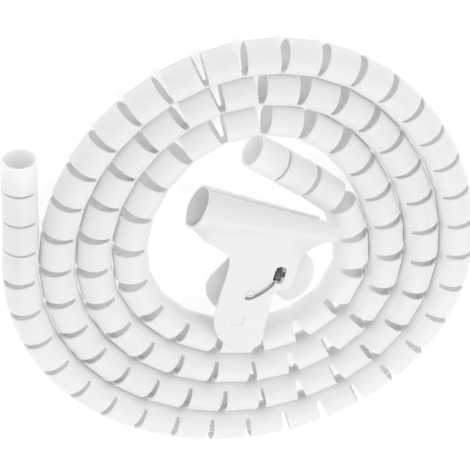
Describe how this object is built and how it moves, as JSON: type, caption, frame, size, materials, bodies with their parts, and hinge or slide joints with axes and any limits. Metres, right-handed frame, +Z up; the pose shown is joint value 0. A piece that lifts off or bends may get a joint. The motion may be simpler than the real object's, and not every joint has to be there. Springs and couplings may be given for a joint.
{
  "type": "spiral cable wrap",
  "caption": "Slit plastic tube cut into short rings along one spine, coiled flat in a spiral, with a spring clip that feeds cables into it.",
  "frame": {"origin": "middle of the coil's outline on the floor it lies on", "axes": "+Z up out of the floor, -Y towards the side the barrel's mouth is on"},
  "size_m": [0.2505, 0.2585, 0.033],
  "materials": {
    "wrap_plastic": "satin white polypropylene",
    "clip_plastic": "smooth white polypropylene",
    "steel": "dark spring steel"
  },
  "bodies": {
    "coil": {"wrap": "wrap_plastic", "clip_front": "clip_plastic", "clip_pin": "steel", "clip_spring": "steel"},
    "rear_lever": {"clip_rear": "clip_plastic"}
  },
  "joints": [
    {"name": "clip_hinge", "type": "hinge", "parent": "coil", "child": "rear_lever", "pos_m": [-0.00436, 0.00928, 0.01987], "axis": [0.8404, -0.511, -0.1805], "range_deg": [0, 8], "stiffness_Nm_per_rad": 0.12, "springref_deg": -20.05}
  ]
}
